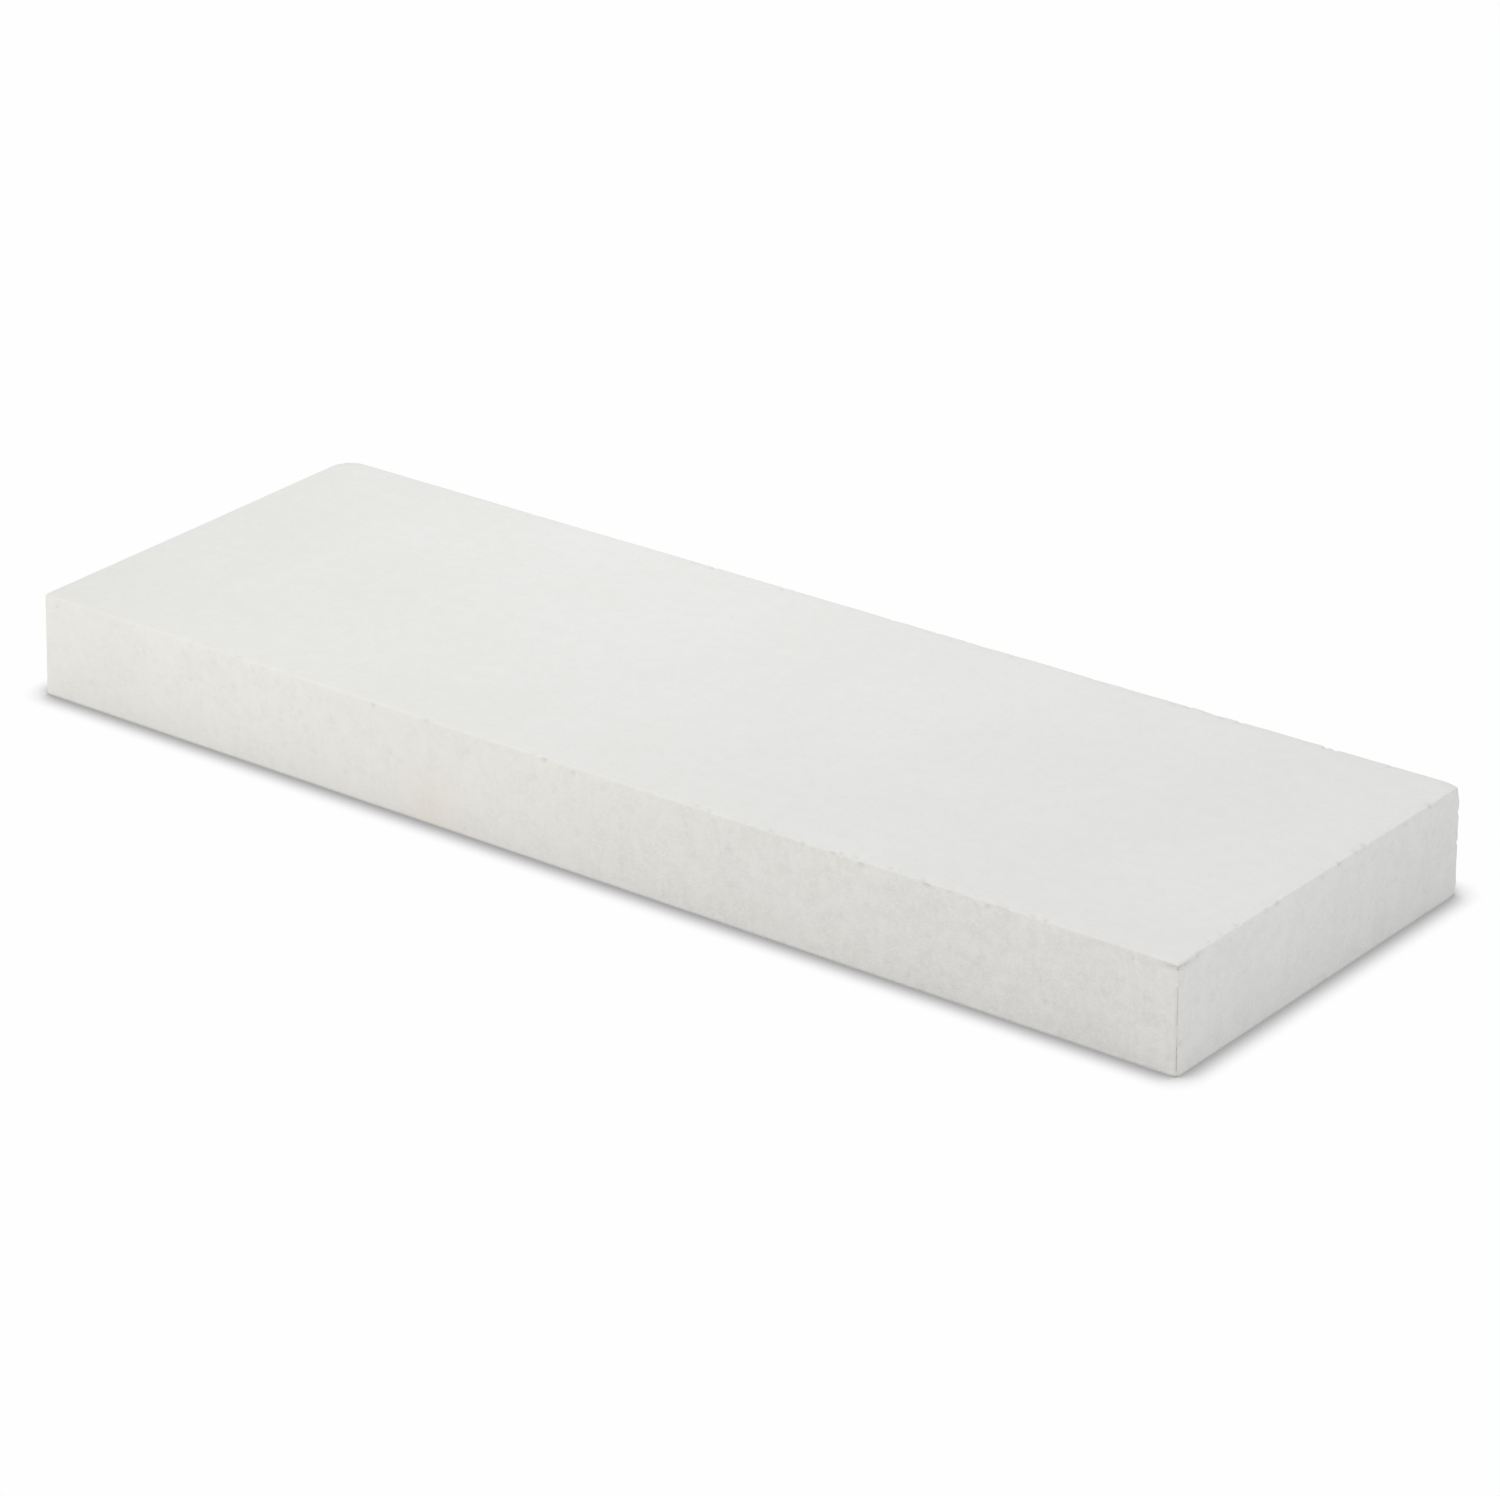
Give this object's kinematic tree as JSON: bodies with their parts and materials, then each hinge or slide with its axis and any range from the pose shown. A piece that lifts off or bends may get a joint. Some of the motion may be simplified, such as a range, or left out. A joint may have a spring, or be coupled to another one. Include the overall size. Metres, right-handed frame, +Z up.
{
  "type": "floral foam brick",
  "caption": "Long, flat rectangular slab of off-white rigid floral foam with blunted corners, cut to length as a base for stems and picks.",
  "frame": {"origin": "centre of the base, on the surface that the brick lies on", "axes": "+X along the length, +Y across the width, +Z up out of the top face"},
  "size_m": [0.302, 0.1, 0.024],
  "materials": {
    "foam": "rigid foam, matte; planed smooth on top, fine cut cells on the sides"
  },
  "bodies": {
    "root": {"foam_block": "foam"}
  },
  "joints": []
}
